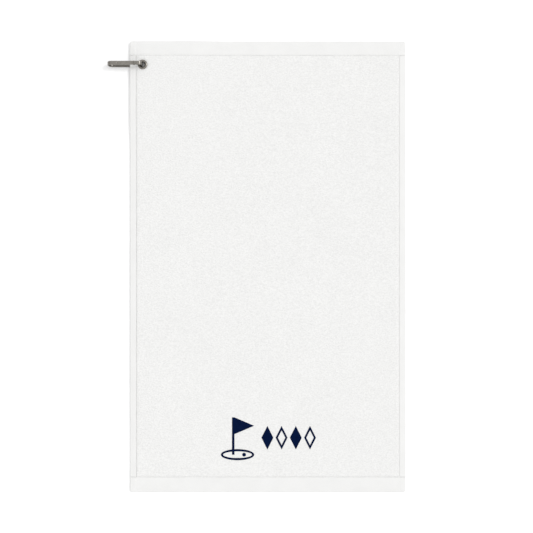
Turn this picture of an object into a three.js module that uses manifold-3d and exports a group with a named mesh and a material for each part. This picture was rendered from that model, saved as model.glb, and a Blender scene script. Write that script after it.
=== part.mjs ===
// Golf towel: a hemmed velour towel with a corner grommet and a spring-gate hook.
// Millimetres, +Z up. The towel lies flat, face up, and its head end points along +Y.
// The origin is the centre of the towel on its underside. The hook stands on its long back side,
// with the towel's corner resting over that side, and passes through the grommet.
import * as THREE from "three";
import { mergeVertices } from "three/addons/utils/BufferGeometryUtils.js";
import Module from "manifold-3d";

const wasm = await Module();
wasm.setup();

// ---------- driving dimensions ----------
// Towel
const TOWEL_WIDTH = 279.4; // 11 in, along X
const TOWEL_LENGTH = 457.2; // 18 in, along Y
const CORNER_RADIUS = 2.2;
const FIELD_THICKNESS = 2.8; // velour pile, ground weave and loops together
const HEM_THICKNESS = 1.7;
const HEAD_HEM = 14.8;
const FOOT_HEM = 15.8;
const SIDE_HEM = 6.8;
const CLOTH_GAP = 0.2; // between two cloth solids that are sewn together
const CLOTH_CELL = 10; // size of the cells that a cloth solid bends in
const FADE_LENGTH = 60; // over which the lifted corner comes down to the surface
const LIFT_MARGIN = 2; // the lift stays full this far past the hook's reach

// Seams: a needle thread on the face and a bobbin thread on the underside
const STITCH_INSET = 0.8; // from the hem's inner edge to the line of stitches
const THREAD_WIDTH = 0.5;
const THREAD_HEIGHT = 0.22;
const THREAD_CLEARANCE = 0.04; // between a thread and what it lies on
const CROSSING = 2; // half the length over which a side thread steps over an end thread
const THREAD_END = 0.6; // a thread stops this far from the towel's edge

// Grommet
const GROMMET_FROM_SIDE = 12.9; // hole centre to the towel's left edge
const GROMMET_FROM_END = 23.8; // hole centre to the towel's head edge
const GROMMET_HOLE_RADIUS = 2.6;
const GROMMET_RADIUS = 4.85;
const BARREL_WALL = 0.35;
const PINCHED_CLOTH = 1.5; // thickness of the cloth between the two flanges
const FLANGE_DOME = 0.8; // height of the flange's rounded crown
const CROWN_WIDTH = 1.1; // width of the crown's nearly flat top
const CROWN_DROP = 0.1; // from the crown's middle to the edges of its top
const FLANGE_EDGE = 0.2; // height of the flange's outer rim
const WASHER_THICKNESS = 0.25;
const ROLLED_LIP = 0.3;
const ROLLED_LIP_REACH = 0.75; // how far the lip turns out over the washer
const METAL_CLEARANCE = 0.05; // between the eyelet, the washer and the cloth's recess

// Hook: a flat strip bent into a long loop, closed by a sprung gate
const HOOK_LENGTH = 35;
const HOOK_HEIGHT = 13.4;
const STRIP_WIDTH = 3.8;
const STRIP_THICKNESS = 1.3;
const NEAR_BEND = 3.2; // outside radius of the two bends at the grommet
const FAR_BEND = 5.2;
const STRIP_BEVEL = 0.25;
const BARREL_SETBACK = 0.2; // from the loop's outer end to the grommet's axis
const CLOTH_OVER_STRIP = 0.65; // air between the back side of the hook and the cloth above it
const NOSE_LENGTH = 5; // straight part of the loop between its far bend and the lip's end
const LAP_LENGTH = 1.9; // gate tongue under the nose lip
const LAP_CLEARANCE = 0.1;
const SHANK_LENGTH = 3.3; // straight part of the loop that carries the spring rivet
const SHANK_TO_PIVOT = 1.3;
const KNUCKLE_RADIUS = 1.0;
const TANG_WIDTH = 1.8;
const TANG_CLEARANCE = 0.12; // each side of the tang, in the gate's fork
const KNUCKLE_CLEARANCE = 0.25;
const PIN_RADIUS = 0.45;
const PIN_CLEARANCE = 0.06;
const PIN_HEAD_RADIUS = 0.8;
const PIN_HEAD_HEIGHT = 0.18;

// Gate spring: a leaf riveted inside the shank, pressing outward on the gate
const LEAF_WIDTH = 2.2;
const LEAF_THICKNESS = 0.22;
const LEAF_CLEARANCE = 0.06;
const LEAF_REACH = 5.5; // from the pivot to where the leaf meets the gate
const LEAF_TAIL = 1.2; // from the spring rivet to the leaf's end
const SPRING_RIVET_RADIUS = 0.4;
const SPRING_RIVET_HEAD = 0.75;
const SPRING_RIVET_HEIGHT = 0.2;

// Print: a flag standing in a green with a ball beside it, and a row of argyle diamonds
const INK_THICKNESS = 0.15;
const INK_CLEARANCE = 0.02;
// Its x values are from the towel's middle, and its fromFoot values from the towel's foot edge.
const GREEN = { x: -31, fromFoot: 38.2, radiusX: 16.5, radiusY: 5.6, line: 2.2 };
const FLAG = { x: -35, fromFoot: 76, poleWidth: 2.4, pennantLength: 20, pennantDrop: 17 };
const BALL = { x: -24, radius: 1.9 };
const DIAMONDS = { count: 4, firstX: -0.4, fromFoot: 55.4, pitch: 14.4, width: 12, height: 23.8 };
const DIAMOND_LINE = 2.2; // width of an open diamond's outline, across X

const ROUND_STEPS = 32;
const CURVE_STEPS = 8;

// ---------- derived places ----------
const halfWidth = TOWEL_WIDTH / 2;
const halfLength = TOWEL_LENGTH / 2;
const hole = {
  x: -halfWidth + GROMMET_FROM_SIDE,
  y: halfLength - GROMMET_FROM_END,
};
const cornerLift = STRIP_THICKNESS + CLOTH_OVER_STRIP;
const hemBase = (FIELD_THICKNESS - HEM_THICKNESS) / 2;
const headHemEdge = halfLength - HEAD_HEM; // y where the field meets the head hem
const footHemEdge = FOOT_HEM - halfLength;
const clothMiddle = cornerLift + FIELD_THICKNESS / 2; // height of the cloth's middle at the grommet
const hookReach = HOOK_LENGTH - BARREL_SETBACK;
const LIFT_RADIUS = hookReach + LIFT_MARGIN + FADE_LENGTH;

const MATERIALS = {
  velour: { color: 0xf2f2f0, roughness: 0.95, metalness: 0 },
  hem: { color: 0xf4f4f2, roughness: 0.85, metalness: 0 },
  thread: { color: 0xf0f0ec, roughness: 0.7, metalness: 0 },
  ink: { color: 0x04193f, roughness: 0.6, metalness: 0 },
  nickel: { color: 0x86837b, roughness: 0.28, metalness: 1 },
  springSteel: { color: 0x7c7a75, roughness: 0.35, metalness: 1 },
};

// ---------- solids ----------
function toSolid(geometry) {
  const bare = geometry.clone();
  bare.deleteAttribute("normal");
  bare.deleteAttribute("uv");
  const merged = mergeVertices(bare, 1e-4);
  return new wasm.Manifold(
    new wasm.Mesh({
      numProp: 3,
      vertProperties: new Float32Array(merged.attributes.position.array),
      triVerts: new Uint32Array(merged.index.array),
    }),
  );
}

function toGeometry(solid) {
  const mesh = solid.getMesh();
  const geometry = new THREE.BufferGeometry();
  geometry.setAttribute("position", new THREE.BufferAttribute(mesh.vertProperties, 3));
  geometry.setIndex(new THREE.BufferAttribute(mesh.triVerts, 1));
  geometry.computeVertexNormals();
  return geometry;
}

const joined = (first, ...rest) =>
  toGeometry(rest.reduce((solid, piece) => solid.add(toSolid(piece)), toSolid(first)));

const cut = (body, ...tools) =>
  toGeometry(tools.reduce((solid, tool) => solid.subtract(toSolid(tool)), toSolid(body)));

// A prism of an outline in the XY plane, from z0 to z1.
function prism(shape, z0, z1) {
  const options = { depth: z1 - z0, bevelEnabled: false, curveSegments: CURVE_STEPS };
  return new THREE.ExtrudeGeometry(shape, options).translate(0, 0, z0);
}

// A prism of an outline in the XZ plane, centred on the plane y, with its long edges bevelled.
function sidewaysPrism(shape, width, y = 0, bevel = 0) {
  const options = {
    depth: width - 2 * bevel,
    bevelEnabled: bevel > 0,
    bevelThickness: bevel,
    bevelSize: bevel,
    bevelOffset: -bevel,
    bevelSegments: 1,
    curveSegments: CURVE_STEPS,
  };
  return new THREE.ExtrudeGeometry(shape, options)
    .translate(0, 0, bevel - width / 2)
    .rotateX(Math.PI / 2)
    .translate(0, y, 0);
}

// A body of revolution about +Z from points of [radius, height].
function turned(points) {
  const profile = points.map(([radius, height]) => new THREE.Vector2(radius, height));
  return new THREE.LatheGeometry(profile, ROUND_STEPS).rotateX(Math.PI / 2);
}

const ringProfile = (points) => [...points, points[0]];

function cylinder(radius, length) {
  return new THREE.CylinderGeometry(radius, radius, length, ROUND_STEPS);
}

function polygon(points) {
  return new THREE.Shape(points.map(([x, y]) => new THREE.Vector2(x, y)));
}

// ---------- cloth ----------
// Height of the towel's underside: it rises over the hook's back side at the corner.
function lift(x, y) {
  const distance = Math.hypot(x - hole.x, y - hole.y);
  return cornerLift * (1 - THREE.MathUtils.smootherstep(distance, LIFT_RADIUS - FADE_LENGTH, LIFT_RADIUS));
}

// Cell edges from start to end, spaced for bending only as far from the grommet as the lift reaches.
function cellEdges(start, end, centre) {
  const low = THREE.MathUtils.clamp(centre - LIFT_RADIUS, start, end);
  const high = THREE.MathUtils.clamp(centre + LIFT_RADIUS, start, end);
  const count = Math.ceil((high - low) / CLOTH_CELL);
  const edges = [start];
  for (let i = 0; i <= count; i++) {
    edges.push(low + ((high - low) * i) / Math.max(count, 1));
  }
  edges.push(end);
  return edges.filter((edge, i) => i === 0 || edge - edges[i - 1] > CLOTH_GAP);
}

// A slab that follows the lifted corner, divided into cells so that it can bend.
function clothSlab({ x0, x1, y0, y1, z0, z1 }) {
  const columns = cellEdges(x0, x1, hole.x);
  const rows = cellEdges(y0, y1, hole.y);
  const across = columns.length - 1;
  const along = rows.length - 1;
  const slab = new THREE.BoxGeometry(across, along, z1 - z0, across, along, 1);
  slab.translate(across / 2, along / 2, (z0 + z1) / 2);
  const at = slab.attributes.position;
  for (let i = 0; i < at.count; i++) {
    const x = columns[Math.round(at.getX(i))];
    const y = rows[Math.round(at.getY(i))];
    at.setXYZ(i, x, y, at.getZ(i) + lift(x, y));
  }
  return slab;
}

function towelOutline() {
  const r = CORNER_RADIUS;
  const outline = new THREE.Shape();
  outline.moveTo(r - halfWidth, -halfLength);
  outline.lineTo(halfWidth - r, -halfLength);
  outline.absarc(halfWidth - r, r - halfLength, r, -Math.PI / 2, 0);
  outline.lineTo(halfWidth, halfLength - r);
  outline.absarc(halfWidth - r, halfLength - r, r, 0, Math.PI / 2);
  outline.lineTo(r - halfWidth, halfLength);
  outline.absarc(r - halfWidth, halfLength - r, r, Math.PI / 2, Math.PI);
  outline.lineTo(-halfWidth, r - halfLength);
  outline.absarc(r - halfWidth, r - halfLength, r, Math.PI, 1.5 * Math.PI);
  return outline;
}

// The field, with a hole for the grommet's barrel and a recess where each flange pinches the pile.
function towelField() {
  const field = clothSlab({
    x0: SIDE_HEM - halfWidth,
    x1: halfWidth - SIDE_HEM,
    y0: footHemEdge,
    y1: headHemEdge,
    z0: 0,
    z1: FIELD_THICKNESS,
  });
  const barrelRadius = GROMMET_HOLE_RADIUS + BARREL_WALL + METAL_CLEARANCE;
  const recessRadius = GROMMET_RADIUS + METAL_CLEARANCE;
  const tall = 2 * FIELD_THICKNESS;
  const recess = (side) =>
    cylinder(recessRadius, tall)
      .rotateX(Math.PI / 2)
      .translate(hole.x, hole.y, clothMiddle + (side * (PINCHED_CLOTH + tall)) / 2);
  const bore = cylinder(barrelRadius, tall)
    .rotateX(Math.PI / 2)
    .translate(hole.x, hole.y, clothMiddle);
  return cut(field, bore, recess(1), recess(-1));
}

const hemHeights = { z0: hemBase, z1: hemBase + HEM_THICKNESS };

// The hem across an end of the towel, from y0 to y1, with the towel's round corners.
function endHem(y0, y1) {
  const slab = clothSlab({ x0: -halfWidth, x1: halfWidth, y0, y1, ...hemHeights });
  const outline = toSolid(prism(towelOutline(), -FIELD_THICKNESS, 3 * FIELD_THICKNESS));
  return toGeometry(toSolid(slab).intersect(outline));
}

// The hem along a side of the towel, from x0 to x1, between the two end hems.
function sideHem(x0, x1) {
  return clothSlab({ x0, x1, y0: footHemEdge, y1: headHemEdge, ...hemHeights });
}

// ---------- seam threads ----------
const needleBase = hemBase + HEM_THICKNESS + THREAD_CLEARANCE;
const bobbinBase = hemBase - THREAD_CLEARANCE - THREAD_HEIGHT;
const headSeamY = headHemEdge + STITCH_INSET;
const footSeamY = footHemEdge - STITCH_INSET;
const sideSeamX = halfWidth - SIDE_HEM + STITCH_INSET;

function endThread(seamY, base) {
  return clothSlab({
    x0: THREAD_END - halfWidth,
    x1: halfWidth - THREAD_END,
    y0: seamY - THREAD_WIDTH / 2,
    y1: seamY + THREAD_WIDTH / 2,
    z0: base,
    z1: base + THREAD_HEIGHT,
  });
}

// A side thread crosses both end threads, and steps over them on the face and on the underside.
// face is +1 for the thread on the face and -1 for the one on the underside.
function sideThread(seamX, face) {
  const base = face > 0 ? needleBase : bobbinBase;
  const step = face * (THREAD_HEIGHT + THREAD_CLEARANCE);
  const end = halfLength - THREAD_END;
  const crossing = (seamY) => [
    [seamY - CROSSING, 0],
    [seamY - CROSSING / 2, step],
    [seamY + CROSSING / 2, step],
    [seamY + CROSSING, 0],
  ];
  const between = cellEdges(footSeamY + 2 * CROSSING, headSeamY - 2 * CROSSING, hole.y);
  const stations = [
    [-end, 0],
    ...crossing(footSeamY),
    ...between.map((y) => [y, 0]),
    ...crossing(headSeamY),
    [end, 0],
  ];
  const bottom = stations.map(([y, rise]) => [y, base + rise + lift(seamX, y)]);
  const top = bottom.map(([y, z]) => [y, z + THREAD_HEIGHT]);
  const options = { depth: THREAD_WIDTH, bevelEnabled: false };
  return new THREE.ExtrudeGeometry(polygon([...bottom, ...top.reverse()]), options)
    .rotateX(Math.PI / 2)
    .rotateZ(Math.PI / 2)
    .translate(seamX - THREAD_WIDTH / 2, 0, 0);
}

// ---------- grommet ----------
function grommetEyelet() {
  const inner = GROMMET_HOLE_RADIUS;
  const barrel = inner + BARREL_WALL;
  const flangeBase = PINCHED_CLOTH / 2 + METAL_CLEARANCE;
  const crown = flangeBase + FLANGE_DOME;
  const washerFace = -(flangeBase + WASHER_THICKNESS + METAL_CLEARANCE);
  const lip = washerFace - ROLLED_LIP;
  const middle = (inner + GROMMET_RADIUS) / 2;
  return turned(
    ringProfile([
      [inner, lip + ROLLED_LIP],
      [inner + BARREL_WALL / 2, lip],
      [barrel + ROLLED_LIP_REACH / 2, lip],
      [barrel + ROLLED_LIP_REACH, washerFace - ROLLED_LIP / 2],
      [barrel + ROLLED_LIP_REACH, washerFace],
      [barrel, washerFace],
      [barrel, flangeBase],
      [GROMMET_RADIUS, flangeBase],
      [GROMMET_RADIUS, flangeBase + FLANGE_EDGE],
      [middle + CROWN_WIDTH / 2, crown - CROWN_DROP],
      [middle, crown],
      [middle - CROWN_WIDTH / 2, crown - CROWN_DROP],
      [inner, crown - FLANGE_DOME / 2],
    ]),
  );
}

function grommetWasher() {
  const inner = GROMMET_HOLE_RADIUS + BARREL_WALL + METAL_CLEARANCE;
  const face = -(PINCHED_CLOTH / 2 + METAL_CLEARANCE);
  return turned(
    ringProfile([
      [inner, face - WASHER_THICKNESS],
      [GROMMET_RADIUS, face - WASHER_THICKNESS],
      [GROMMET_RADIUS, face],
      [inner, face],
    ]),
  );
}

// ---------- hook ----------
// The hook's own frame: x = 0 on the grommet's axis and negative towards the far end of the loop,
// z = 0 on the surface that the hook stands on.
const loop = {
  near: BARREL_SETBACK,
  far: -hookReach,
  nearInside: NEAR_BEND - STRIP_THICKNESS,
  farInside: FAR_BEND - STRIP_THICKNESS,
};
const shankEnd = loop.near - NEAR_BEND - SHANK_LENGTH;
const pivot = {
  x: shankEnd - SHANK_TO_PIVOT,
  z: HOOK_HEIGHT - KNUCKLE_RADIUS,
};
const noseEnd = loop.far + FAR_BEND + NOSE_LENGTH;
const gateEnd = noseEnd - LAP_LENGTH;
const stripInside = HOOK_HEIGHT - STRIP_THICKNESS;
const lapHeight = HOOK_HEIGHT - STRIP_THICKNESS / 2;

// The bent strip, from the shank round the near end, along the back and round the far end to the nose.
function hookFrame() {
  const { nearInside, farInside } = loop;
  const nearCentre = loop.near - NEAR_BEND;
  const farCentre = loop.far + FAR_BEND;
  const quarter = Math.PI / 2;
  const strip = new THREE.Shape();
  strip.moveTo(shankEnd, HOOK_HEIGHT);
  strip.lineTo(shankEnd, stripInside);
  strip.lineTo(nearCentre, stripInside);
  strip.absarc(nearCentre, HOOK_HEIGHT - NEAR_BEND, nearInside, quarter, 0, true);
  strip.absarc(nearCentre, NEAR_BEND, nearInside, 0, -quarter, true);
  strip.absarc(farCentre, FAR_BEND, farInside, -quarter, -2 * quarter, true);
  strip.absarc(farCentre, HOOK_HEIGHT - FAR_BEND, farInside, 2 * quarter, quarter, true);
  strip.lineTo(gateEnd - LAP_CLEARANCE, stripInside);
  strip.lineTo(gateEnd - LAP_CLEARANCE, lapHeight + LAP_CLEARANCE / 2);
  strip.lineTo(noseEnd, lapHeight + LAP_CLEARANCE / 2);
  strip.lineTo(noseEnd, HOOK_HEIGHT);
  strip.lineTo(farCentre, HOOK_HEIGHT);
  strip.absarc(farCentre, HOOK_HEIGHT - FAR_BEND, FAR_BEND, quarter, 2 * quarter);
  strip.absarc(farCentre, FAR_BEND, FAR_BEND, 2 * quarter, 3 * quarter);
  strip.absarc(nearCentre, NEAR_BEND, NEAR_BEND, -quarter, 0);
  strip.absarc(nearCentre, HOOK_HEIGHT - NEAR_BEND, NEAR_BEND, 0, quarter);
  const bent = sidewaysPrism(strip, STRIP_WIDTH, 0, STRIP_BEVEL);

  const tang = new THREE.Shape();
  tang.absarc(pivot.x, pivot.z, KNUCKLE_RADIUS, quarter, 3 * quarter);
  tang.lineTo(shankEnd, stripInside);
  tang.lineTo(shankEnd + STRIP_THICKNESS, stripInside);
  tang.lineTo(shankEnd + STRIP_THICKNESS, HOOK_HEIGHT);
  const eye = sidewaysPrism(tang, TANG_WIDTH);
  const pinHole = cylinder(PIN_RADIUS + PIN_CLEARANCE, STRIP_WIDTH).translate(pivot.x, 0, pivot.z);
  const rivetHole = cylinder(SPRING_RIVET_RADIUS + PIN_CLEARANCE, 3 * STRIP_THICKNESS)
    .rotateX(Math.PI / 2)
    .translate(springRivetX, 0, stripInside);
  return cut(joined(bent, eye), pinHole, rivetHole);
}

// The gate: a solid strip with a fork at the pivot and a half-thickness tongue under the nose.
function gateStrip() {
  const quarter = Math.PI / 2;
  const outline = new THREE.Shape();
  const tongueTop = lapHeight - LAP_CLEARANCE / 2;
  const shoulder = noseEnd + LAP_CLEARANCE;
  outline.moveTo(pivot.x, HOOK_HEIGHT);
  outline.lineTo(shoulder, HOOK_HEIGHT);
  outline.lineTo(shoulder, tongueTop);
  outline.lineTo(gateEnd, tongueTop);
  outline.lineTo(gateEnd, stripInside);
  outline.lineTo(pivot.x - 2 * KNUCKLE_RADIUS, stripInside);
  outline.lineTo(pivot.x - KNUCKLE_RADIUS / 2, pivot.z - KNUCKLE_RADIUS);
  outline.absarc(pivot.x, pivot.z, KNUCKLE_RADIUS, -quarter, quarter);
  const body = sidewaysPrism(outline, STRIP_WIDTH, 0, STRIP_BEVEL);
  const slot = cylinder(KNUCKLE_RADIUS + KNUCKLE_CLEARANCE, TANG_WIDTH + 2 * TANG_CLEARANCE)
    .translate(pivot.x, 0, pivot.z);
  const pinHole = cylinder(PIN_RADIUS + PIN_CLEARANCE, 2 * STRIP_WIDTH)
    .translate(pivot.x, 0, pivot.z);
  return cut(body, slot, pinHole);
}

// A straight rivet along +Z with a head on each end, its shaft from z0 to z1.
function rivet(radius, headRadius, headHeight, z0, z1) {
  const flat = headRadius - headHeight; // the head's edge is rounded off outside this radius
  return turned([
    [0, z0 - headHeight],
    [flat, z0 - headHeight],
    [headRadius, z0 - headHeight / 3],
    [headRadius, z0],
    [radius, z0],
    [radius, z1],
    [headRadius, z1],
    [headRadius, z1 + headHeight / 3],
    [flat, z1 + headHeight],
    [0, z1 + headHeight],
  ]);
}

function gateRivet() {
  const reach = STRIP_WIDTH / 2 + METAL_CLEARANCE;
  return rivet(PIN_RADIUS, PIN_HEAD_RADIUS, PIN_HEAD_HEIGHT, -reach, reach)
    .rotateX(Math.PI / 2)
    .translate(pivot.x, 0, pivot.z);
}

const springRivetX = shankEnd + SHANK_LENGTH / 2;
const leafUnderShank = stripInside - LEAF_CLEARANCE - LEAF_THICKNESS;

// The leaf lies flat on the shank, dips under the knuckle and rises to the gate.
function gateSpring() {
  const underKnuckle = pivot.z - KNUCKLE_RADIUS - LEAF_CLEARANCE - LEAF_THICKNESS;
  const line = [
    [springRivetX + LEAF_TAIL, leafUnderShank],
    [springRivetX - SPRING_RIVET_HEAD, leafUnderShank],
    [pivot.x + KNUCKLE_RADIUS, underKnuckle],
    [pivot.x - KNUCKLE_RADIUS, underKnuckle],
    [pivot.x - LEAF_REACH, leafUnderShank],
  ];
  const outer = line.map(([x, z]) => [x, z + LEAF_THICKNESS]);
  const leaf = sidewaysPrism(polygon([...outer, ...line.reverse()]), LEAF_WIDTH);
  const rivetHole = cylinder(SPRING_RIVET_RADIUS + PIN_CLEARANCE, STRIP_THICKNESS)
    .rotateX(Math.PI / 2)
    .translate(springRivetX, 0, leafUnderShank);
  return cut(leaf, rivetHole);
}

function springRivet() {
  return rivet(
    SPRING_RIVET_RADIUS,
    SPRING_RIVET_HEAD,
    SPRING_RIVET_HEIGHT,
    leafUnderShank - METAL_CLEARANCE,
    HOOK_HEIGHT + METAL_CLEARANCE,
  ).translate(springRivetX, 0, 0);
}

// ---------- print ----------
function printed(shape) {
  const base = FIELD_THICKNESS + INK_CLEARANCE;
  return prism(shape, base, base + INK_THICKNESS);
}

const greenY = GREEN.fromFoot - halfLength;

function ellipse(x, y, radiusX, radiusY) {
  return new THREE.Shape().absellipse(x, y, radiusX, radiusY, 0, 2 * Math.PI);
}

// A green drawn as an oval line, with a flag standing in its middle.
function printedFlag() {
  const left = FLAG.x - FLAG.poleWidth / 2;
  const right = FLAG.x + FLAG.poleWidth / 2;
  const top = FLAG.fromFoot - halfLength;
  const pennantFoot = top - FLAG.pennantDrop;
  const flag = polygon([
    [left, greenY],
    [right, greenY],
    [right, pennantFoot],
    [right + FLAG.pennantLength, (top + pennantFoot) / 2],
    [right, top],
    [left, top],
  ]);
  const { x, radiusX, radiusY, line } = GREEN;
  const green = ellipse(x, greenY, radiusX, radiusY);
  green.holes.push(ellipse(x, greenY, radiusX - line, radiusY - line));
  return joined(printed(flag), printed(green));
}

function printedBall() {
  return printed(ellipse(BALL.x, greenY, BALL.radius, BALL.radius));
}

// Diamonds stand in a row by turns solid and open.
function printedDiamond(index) {
  const x = DIAMONDS.firstX + index * DIAMONDS.pitch;
  const y = DIAMONDS.fromFoot - halfLength;
  const corners = (share) => [
    [x + (share * DIAMONDS.width) / 2, y],
    [x, y + (share * DIAMONDS.height) / 2],
    [x - (share * DIAMONDS.width) / 2, y],
    [x, y - (share * DIAMONDS.height) / 2],
  ];
  const diamond = polygon(corners(1));
  if (index % 2 === 1) {
    diamond.holes.push(polygon(corners(1 - (2 * DIAMOND_LINE) / DIAMONDS.width)));
  }
  return printed(diamond);
}

// ---------- assembly ----------
function add(group, name, geometry, material) {
  const mesh = new THREE.Mesh(geometry, new THREE.MeshStandardMaterial(MATERIALS[material]));
  mesh.name = name;
  group.add(mesh);
}

const golfTowel = new THREE.Group();

const towel = new THREE.Group();
add(towel, "towel_field", towelField(), "velour");
add(towel, "head_hem", endHem(headHemEdge + CLOTH_GAP, halfLength), "hem");
add(towel, "foot_hem", endHem(-halfLength, footHemEdge - CLOTH_GAP), "hem");
add(towel, "left_hem", sideHem(-halfWidth, SIDE_HEM - CLOTH_GAP - halfWidth), "hem");
add(towel, "right_hem", sideHem(halfWidth - SIDE_HEM + CLOTH_GAP, halfWidth), "hem");
for (const [end, seamY] of [["head", headSeamY], ["foot", footSeamY]]) {
  add(towel, `${end}_needle_thread`, endThread(seamY, needleBase), "thread");
  add(towel, `${end}_bobbin_thread`, endThread(seamY, bobbinBase), "thread");
}
for (const [edge, seamX] of [["left", -sideSeamX], ["right", sideSeamX]]) {
  add(towel, `${edge}_needle_thread`, sideThread(seamX, 1), "thread");
  add(towel, `${edge}_bobbin_thread`, sideThread(seamX, -1), "thread");
}
add(towel, "printed_flag", printedFlag(), "ink");
add(towel, "printed_ball", printedBall(), "ink");
for (let i = 0; i < DIAMONDS.count; i++) {
  add(towel, `printed_diamond_${i + 1}`, printedDiamond(i), "ink");
}
golfTowel.add(towel);

const grommet = new THREE.Group();
grommet.position.set(hole.x, hole.y, clothMiddle);
add(grommet, "grommet_eyelet", grommetEyelet(), "nickel");
add(grommet, "grommet_washer", grommetWasher(), "nickel");
golfTowel.add(grommet);

const hook = new THREE.Group();
hook.position.set(hole.x, hole.y, 0);
add(hook, "hook_frame", hookFrame(), "nickel");
add(hook, "gate", gateStrip(), "nickel");
add(hook, "gate_rivet", gateRivet(), "springSteel");
add(hook, "gate_spring", gateSpring(), "springSteel");
add(hook, "spring_rivet", springRivet(), "springSteel");
golfTowel.add(hook);

export default golfTowel;
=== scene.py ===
import math

import bmesh
import bpy
import numpy as np
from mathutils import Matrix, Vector, geometry


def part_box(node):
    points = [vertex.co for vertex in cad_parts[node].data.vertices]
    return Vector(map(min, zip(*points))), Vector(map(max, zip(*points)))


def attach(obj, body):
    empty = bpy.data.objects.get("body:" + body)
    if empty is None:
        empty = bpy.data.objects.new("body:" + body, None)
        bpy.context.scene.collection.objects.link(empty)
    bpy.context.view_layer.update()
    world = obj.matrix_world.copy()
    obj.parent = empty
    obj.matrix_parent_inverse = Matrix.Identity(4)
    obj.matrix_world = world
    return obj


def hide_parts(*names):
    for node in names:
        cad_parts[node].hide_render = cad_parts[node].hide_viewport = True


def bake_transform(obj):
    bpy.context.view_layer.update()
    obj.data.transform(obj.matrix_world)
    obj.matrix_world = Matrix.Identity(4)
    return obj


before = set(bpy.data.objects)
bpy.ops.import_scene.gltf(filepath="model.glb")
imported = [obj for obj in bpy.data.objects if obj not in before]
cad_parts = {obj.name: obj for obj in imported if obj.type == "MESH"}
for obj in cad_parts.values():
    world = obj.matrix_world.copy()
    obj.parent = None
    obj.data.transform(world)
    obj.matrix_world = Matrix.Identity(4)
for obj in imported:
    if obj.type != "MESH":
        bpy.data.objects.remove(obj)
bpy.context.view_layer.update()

# A golf towel laid flat, face up, with a spring-gate hook through the grommet in its corner.
# Sizes are in millimetres and become metres where a mesh is made. +Y is the head of the towel.
MM = 0.001


def corners(node):
    """Lowest and highest corner of a CAD node, in millimetres."""
    low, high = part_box(node)
    return np.array(low) / MM, np.array(high) / MM


# ---------- sizes from the frame ----------
hem_high = corners("head_hem")[1]
field_low, field_high = corners("towel_field")
washer_low, washer_high = corners("grommet_washer")
hook_low, hook_high = corners("hook_frame")
pin_low, pin_high = corners("gate_rivet")
rivet_low, rivet_high = corners("spring_rivet")
leaf_low, leaf_high = corners("gate_spring")

HALF_WIDTH = hem_high[0]
HALF_LENGTH = hem_high[1]
HOLE_X, HOLE_Y = ((washer_low + washer_high) / 2)[:2]
HOOK_HEIGHT = hook_high[2]
STRIP_WIDTH = hook_high[1] - hook_low[1]
PIVOT_X = (pin_low[0] + pin_high[0]) / 2
PIVOT_Z = (pin_low[2] + pin_high[2]) / 2

# ---------- sizes of the towel ----------
FIELD_THICKNESS = 2.8
CORNER_LIFT = field_high[2] - FIELD_THICKNESS
LIFT_MARGIN = 2  # the corner stays fully lifted this far past the hook's reach
FADE_LENGTH = 60  # over which the lifted corner comes down to the surface
WAVE_FADE = 30  # over which the waves set in, past the lifted corner
LIFT_START = HOLE_X - hook_low[0] + LIFT_MARGIN
LIFT_END = LIFT_START + FADE_LENGTH
CORNER_RADIUS = 2.2
HEM_HALF = 0.95  # half the thickness of a hem
FOLD_RADIUS = 0.95  # rounding of a hem's folded outer edge
HEM_DROOP = 0.4
SEAM_INSET = 0.8  # from the CAD hem's inner edge to its line of stitches
FIELD_REACH = 0.75  # how far the pile runs past the CAD field, up to the line of stitches
HEM_TUCK = 0.3  # how far a hem runs under the pile
SHOULDER = 2.8  # width over which the pile rises from the seam
WAVE = 0.45  # height of the gentle waves in the laid cloth
EDGE_RIPPLE = 0.35
END_GROOVE_DEPTH = 0.45
SIDE_GROOVE_DEPTH = 0.16
GROOVE_WIDTH = 0.75
STITCH_PITCH = 3.175  # 8 stitches to the inch
THREAD_RADIUS = 0.2
HOLE_WALL = 3.4  # radius of the cloth's hole, under the grommet's flange
PINCHED_HALF = 0.7
PUCKERS = 11  # folds that the grommet draws into the cloth round it
PINCH_START = 4.4  # radius of the fully pinched cloth
PINCH_END = 6.6  # radius at which the cloth has its own thickness again
CLOTH_CELL = 1.72  # size of the cells that the pile is made of
FINE_CELL = 0.6  # the same near the grommet
FINE_REACH = 8.4

side_seam = HALF_WIDTH - (field_low[0] + HALF_WIDTH) + SEAM_INSET
head_seam = field_high[1] + SEAM_INSET
foot_seam = field_low[1] - SEAM_INSET


# ---------- noise and shaping ----------
def smooth(value, start, end):
    share = np.clip((value - start) / (end - start), 0, 1)
    return share * share * share * (share * (6 * share - 15) + 10)


def noise(x, y, cell, seed):
    """Smooth value noise from -1 to 1 whose features are about cell across."""
    lattice = np.random.default_rng(seed).uniform(-1, 1, (256, 256))
    column = np.floor(x / cell).astype(int)
    row = np.floor(y / cell).astype(int)
    across = smooth(x / cell - column, 0, 1)
    along = smooth(y / cell - row, 0, 1)

    def at(i, j):
        return lattice[(column + i) % 256, (row + j) % 256]

    near = at(0, 0) * (1 - across) + at(1, 0) * across
    far = at(0, 1) * (1 - across) + at(1, 1) * across
    return near * (1 - along) + far * along


def rounded(share):
    """A quarter-round from 0 at the rim to 1."""
    inward = 1 - np.clip(share, 0, 1)
    return np.sqrt(1 - inward * inward)


def edge_distance(x, y):
    """Distance inward from the towel's outline, which has round corners."""
    across = np.abs(x) - (HALF_WIDTH - CORNER_RADIUS)
    along = np.abs(y) - (HALF_LENGTH - CORNER_RADIUS)
    outside = np.hypot(np.maximum(across, 0), np.maximum(along, 0))
    return CORNER_RADIUS - outside - np.minimum(np.maximum(across, along), 0)


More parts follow.
